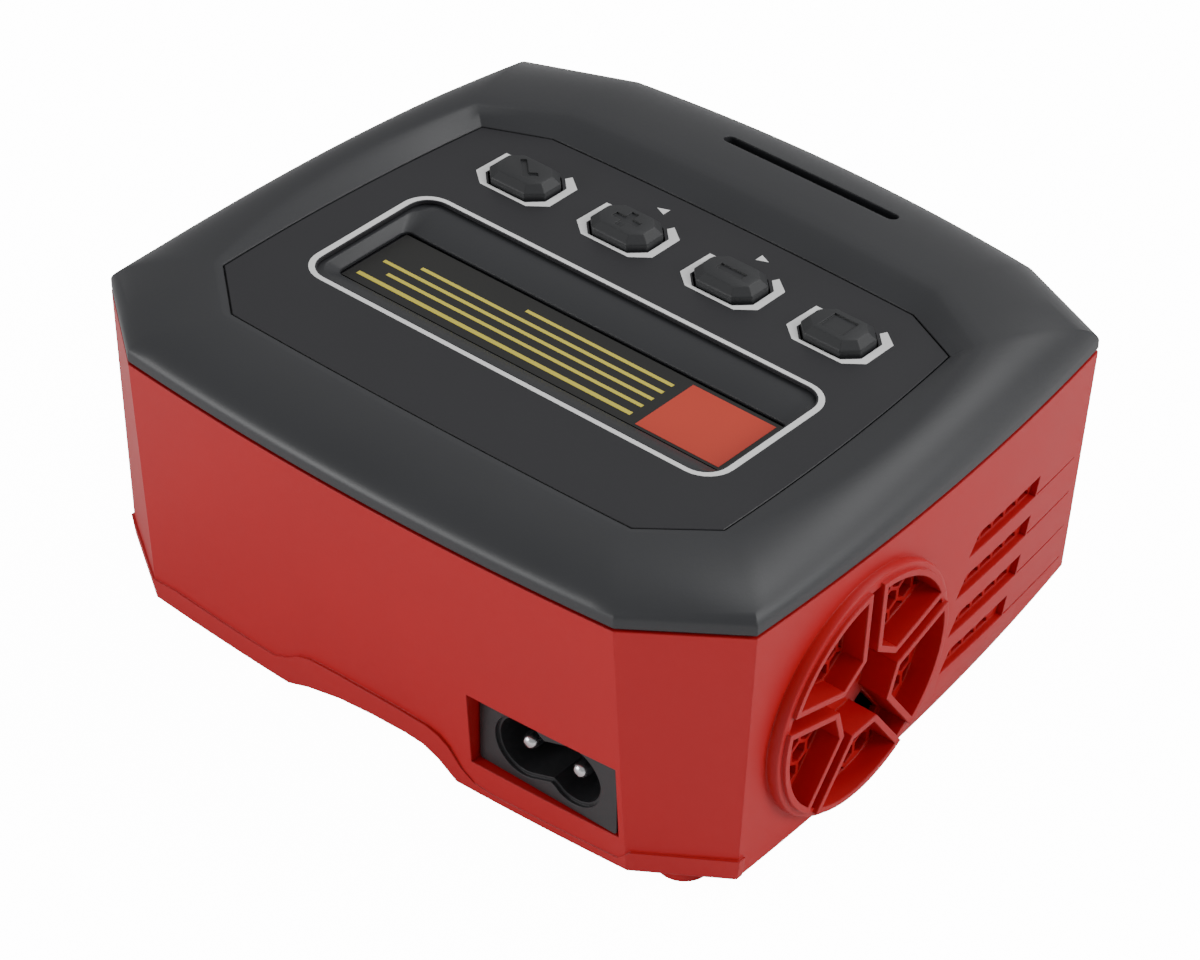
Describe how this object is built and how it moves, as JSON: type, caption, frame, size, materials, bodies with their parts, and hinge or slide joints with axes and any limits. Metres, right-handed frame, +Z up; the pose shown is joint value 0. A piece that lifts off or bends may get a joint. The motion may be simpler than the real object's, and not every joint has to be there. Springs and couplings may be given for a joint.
{
  "type": "balance battery charger",
  "caption": "Desktop charger: red case with fan grille, mains inlet and battery sockets; dark cover with sunken display and push keys.",
  "frame": {"origin": "centre of the bottom of the overall box, at the level of the feet", "axes": "+Z up; -Y to the user, with the keys; +Y to the back, with the mains inlet; -X the fan side; +X the battery sockets side"},
  "size_m": [0.1145, 0.1027, 0.0498],
  "materials": {
    "aluminium": "extruded",
    "amber_nylon": "moulded nylon",
    "black_resin": "satin",
    "capacitor_sleeve": "shrink sleeve",
    "charcoal_plastic": "fine moulded texture",
    "circuit_board": "solder mask",
    "clear_lens": "polished",
    "copper_wire": "enamelled copper wire",
    "fan_black": "moulded",
    "ferrite": "sintered",
    "film": "smooth printed film",
    "film_yellow": "moulded",
    "gold_contact": "gold plated",
    "key_plastic": "satin",
    "lcd_glass": "smooth",
    "overlay_black": "satin printed film",
    "plated_metal": "nickel plated",
    "red_plastic": "fine moulded texture",
    "steel": "zinc plated",
    "white_nylon": "moulded nylon",
    "winding_tape": "tape"
  },
  "bodies": {
    "charger_body": {"balance_board": "circuit_board", "balance_socket_2s": "white_nylon", "balance_socket_3s": "white_nylon", "balance_socket_4s": "white_nylon", "balance_socket_5s": "white_nylon", "balance_socket_6s": "white_nylon", "battery_output_socket": "amber_nylon", "bulk_capacitor": "capacitor_sleeve", "buzzer": "black_resin", "case_screw_1": "steel", "case_screw_2": "steel", "case_screw_3": "steel", "case_screw_4": "steel", "control_board": "circuit_board", "decrease_switch": "black_resin", "display_film": "film", "display_lens": "clear_lens", "enter_switch": "black_resin", "fan_frame": "fan_black", "film_capacitor": "film_yellow", "heat_sink": "aluminium", "increase_switch": "black_resin", "inlet_pin_line": "plated_metal", "inlet_pin_neutral": "plated_metal", "lcd_module": "lcd_glass", "lower_case": "red_plastic", "main_board": "circuit_board", "main_board_screw_1": "steel", "main_board_screw_2": "steel", "main_board_screw_3": "steel", "main_board_screw_4": "steel", "mains_filter_choke": "copper_wire", "mains_fuse": "white_nylon", "mains_inlet": "black_resin", "microcontroller": "black_resin", "output_capacitor": "capacitor_sleeve", "output_contact_negative": "gold_contact", "output_contact_positive": "gold_contact", "output_inductor": "copper_wire", "panel_overlay": "overlay_black", "panel_screw_1": "steel", "panel_screw_2": "steel", "panel_screw_3": "steel", "panel_screw_4": "steel", "primary_transistor": "black_resin", "secondary_transistor": "black_resin", "stop_switch": "black_resin", "top_cover": "charcoal_plastic", "transformer_core": "ferrite", "transformer_winding": "winding_tape"},
    "enter_button": {"enter_key": "key_plastic"},
    "increase_button": {"increase_key": "key_plastic"},
    "decrease_button": {"decrease_key": "key_plastic"},
    "stop_button": {"stop_key": "key_plastic"},
    "fan_impeller": {"fan_rotor": "fan_black"}
  },
  "joints": [
    {"name": "enter_press", "type": "slide", "parent": "charger_body", "child": "enter_button", "axis": [0, 0.0437, -0.999], "range_m": [0, 0.0005], "stiffness_N_per_m": 800, "springref_m": -0.0008},
    {"name": "increase_press", "type": "slide", "parent": "charger_body", "child": "increase_button", "axis": [0, 0.0437, -0.999], "range_m": [0, 0.0005], "stiffness_N_per_m": 800, "springref_m": -0.0008},
    {"name": "decrease_press", "type": "slide", "parent": "charger_body", "child": "decrease_button", "axis": [0, 0.0437, -0.999], "range_m": [0, 0.0005], "stiffness_N_per_m": 800, "springref_m": -0.0008},
    {"name": "stop_press", "type": "slide", "parent": "charger_body", "child": "stop_button", "axis": [0, 0.0437, -0.999], "range_m": [0, 0.0005], "stiffness_N_per_m": 800, "springref_m": -0.0008},
    {"name": "fan_spin", "type": "hinge", "parent": "charger_body", "child": "fan_impeller", "pos_m": [-0.04375, 0.0156, 0.0209], "axis": [1, 0, 0], "continuous": true}
  ]
}
